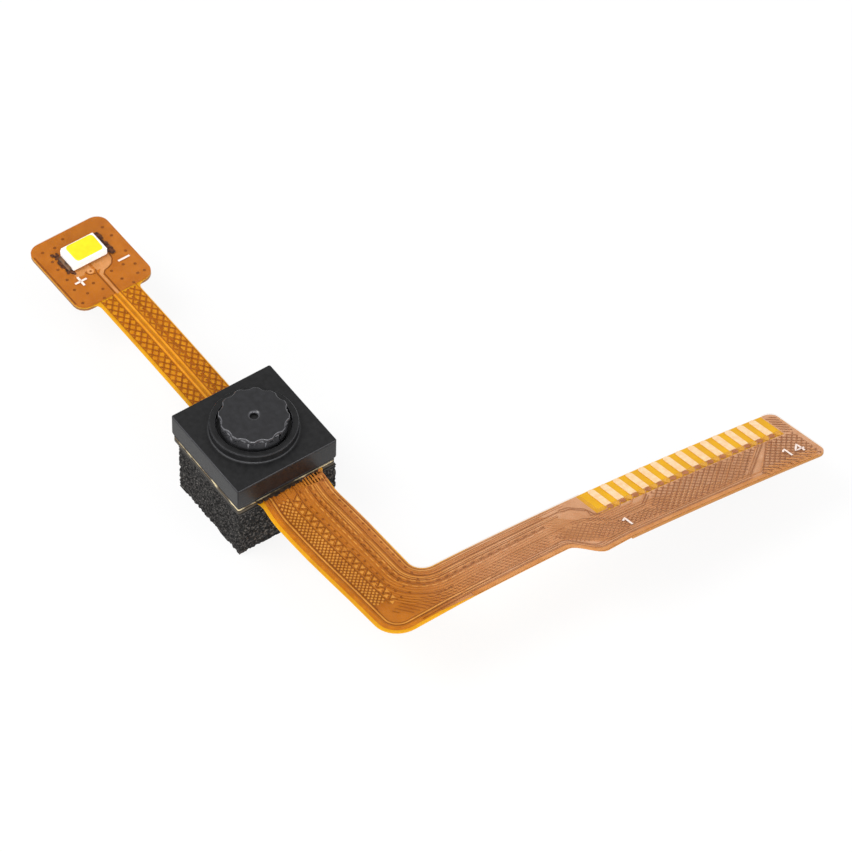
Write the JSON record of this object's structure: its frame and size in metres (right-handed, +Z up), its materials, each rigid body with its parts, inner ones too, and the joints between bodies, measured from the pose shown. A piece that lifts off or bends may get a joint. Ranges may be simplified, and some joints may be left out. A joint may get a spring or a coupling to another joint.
{
  "type": "camera module",
  "caption": "Fixed-lens camera module on an L-shaped flexible circuit, with a foam pad under a square lens holder, an LED paddle at one end and edge contacts at the other.",
  "frame": {"origin": "on the lens axis, at the underside of the foam pad", "axes": "+X from the LED paddle towards the film's corner, +Y along the contact arm, +Z up along the lens axis, the way the lens looks"},
  "size_m": [0.0491, 0.038, 0.0087],
  "materials": {
    "foam": "open-cell black foam, matt, with fine light specks",
    "foam_tape": "thin double-sided tape, dull",
    "camera_plate": "cream glass-fibre plate with cut edges",
    "base_film": "amber polyimide film, smooth",
    "cover_film": "amber polyimide cover film, see-through, soft sheen",
    "copper": "rolled copper seen through amber film",
    "contact_gold": "pale gold plating, satin",
    "stiffener": "thick amber polyimide stiffener",
    "glue": "cream epoxy bead, uneven",
    "holder": "black moulded plastic with fine grain",
    "filter_glass": "coated flat glass, faint blue",
    "sensor": "dark sensor package",
    "cover_glass": "clear flat glass",
    "solder_balls": "bright solder",
    "capacitors": "fired ceramic body with tinned ends",
    "lens_plastic": "black moulded plastic, slightly glossy on the scallops",
    "lens_glass": "clear optical glass",
    "lens_rings": "dead black",
    "led_body": "white moulded LED body",
    "led_chip": "sapphire chip",
    "phosphor": "yellow phosphor gel, smooth",
    "terminals": "tinned terminal",
    "solder": "dull reflowed solder"
  },
  "bodies": {
    "circuit": {"foam_pad": "foam", "foam_tape": "foam_tape", "camera_plate": "camera_plate", "base_film": "base_film", "tail_cover_film": "cover_film", "arm_cover_film": "cover_film", "signal_traces": "copper", "led_traces": "copper", "ground_copper": "copper", "contact_fingers": "contact_gold", "contact_stiffener": "stiffener", "led_stiffener": "stiffener", "holder_glue": "glue", "lens_holder": "holder", "infrared_filter": "filter_glass", "image_sensor": "sensor", "sensor_cover_glass": "cover_glass", "sensor_solder_balls": "solder_balls", "chip_capacitors": "capacitors", "led_housing": "led_body", "led_chip": "led_chip", "led_phosphor": "phosphor", "led_terminals": "terminals", "led_solder": "solder"},
    "lens": {"lens_barrel": "lens_plastic", "front_lens": "lens_glass", "aperture_stop": "lens_rings", "middle_lens": "lens_glass", "spacer_ring": "lens_rings", "rear_lens": "lens_glass", "retainer_ring": "lens_rings"}
  },
  "joints": [
    {"name": "lens_focus", "type": "hinge", "parent": "circuit", "child": "lens", "pos_m": [0, 0, 0.00675], "axis": [0, 0, 1], "range_deg": [-180, 180]}
  ]
}
